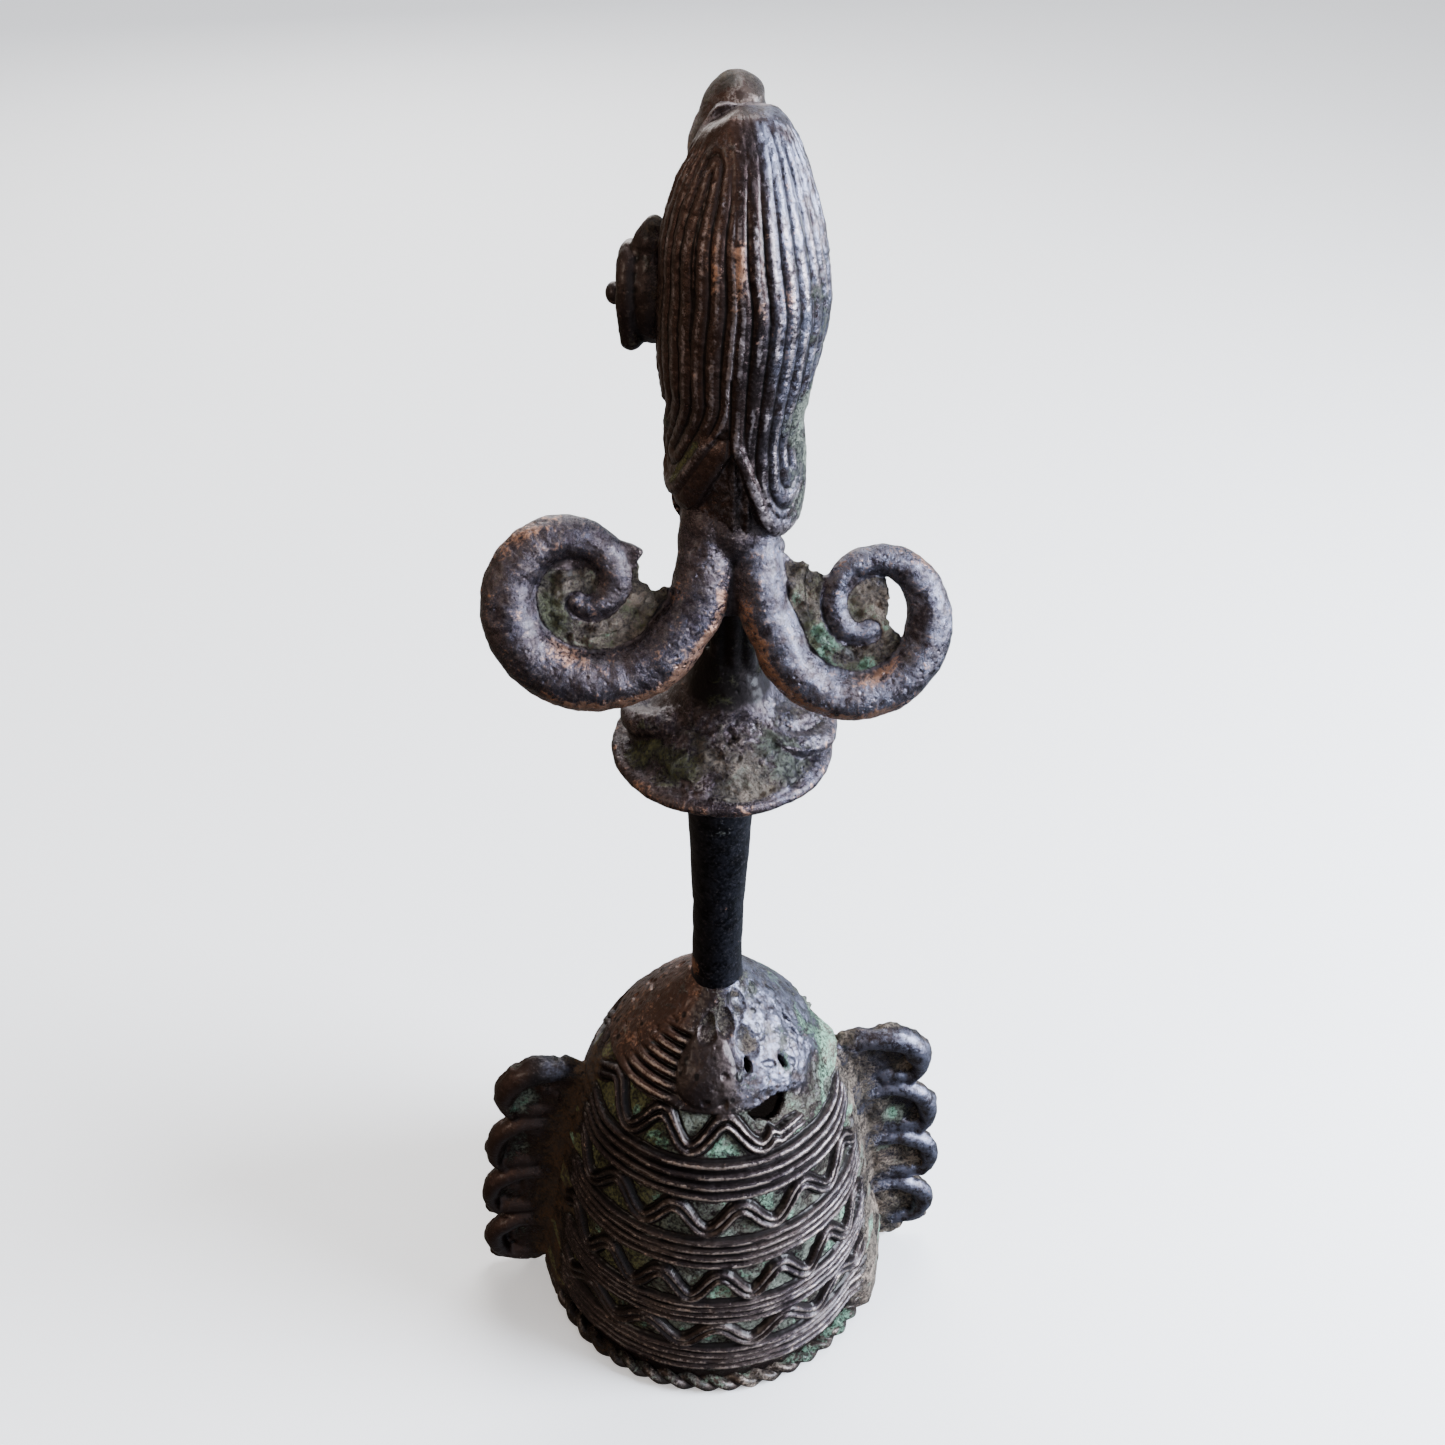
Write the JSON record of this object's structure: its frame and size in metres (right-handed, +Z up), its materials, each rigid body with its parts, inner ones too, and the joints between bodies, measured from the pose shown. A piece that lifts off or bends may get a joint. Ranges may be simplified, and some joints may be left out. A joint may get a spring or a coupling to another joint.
{
  "type": "hand bell",
  "caption": "Cast hand bell with thread-wound zigzag relief, scalloped side fins, a figured handle with volutes, and a clapper hung on a link.",
  "frame": {"origin": "centre of the bell's mouth, on the plane the bell stands on", "axes": "+Z up the handle, X through the two side fins, +Y the way the figure faces, so its hair and volutes are on the -Y side"},
  "size_m": [0.0836, 0.0616, 0.2166],
  "materials": {
    "dark_bronze": "dark patinated casting, satin",
    "worn_bronze": "dark patina rubbed bright and coppery on the ridges",
    "green_bronze": "dull, with green and earthy deposits in the hollows",
    "black_iron": "forged iron, dark and dry"
  },
  "bodies": {
    "bell": {"bell_shell": "dark_bronze", "dome_coil": "dark_bronze", "dome_patch": "dark_bronze", "band_wires_1": "worn_bronze", "band_wires_2": "worn_bronze", "band_wires_3": "worn_bronze", "band_wires_4": "worn_bronze", "wave_wire_1": "worn_bronze", "wave_wire_2": "worn_bronze", "wave_wire_3": "worn_bronze", "wave_wire_4": "worn_bronze", "rim_rope": "worn_bronze", "left_fin": "green_bronze", "right_fin": "green_bronze", "handle_stem": "dark_bronze", "seat_disc": "green_bronze", "seat_tier": "dark_bronze", "torso_column": "dark_bronze", "left_volute": "worn_bronze", "right_volute": "worn_bronze", "left_volute_web": "green_bronze", "right_volute_web": "green_bronze", "head_core": "dark_bronze", "crown_cap": "worn_bronze", "hair_lobe_left": "worn_bronze", "hair_lobe_right": "worn_bronze", "left_ear": "dark_bronze", "left_ear_stud": "worn_bronze", "right_ear": "dark_bronze", "right_ear_stud": "worn_bronze", "clapper_staple": "dark_bronze"},
    "link": {"clapper_link": "black_iron"},
    "clapper": {"clapper_rod": "black_iron", "clapper_bob": "black_iron"}
  },
  "joints": [
    {"name": "link_swing", "type": "hinge", "parent": "bell", "child": "link", "pos_m": [0, 0, 0.0625], "axis": [1, 0, 0], "range_deg": [-21, 21]},
    {"name": "clapper_swing", "type": "hinge", "parent": "link", "child": "clapper", "pos_m": [0, 0, 0.0546], "axis": [0, 1, 0], "range_deg": [-7, 7]}
  ]
}
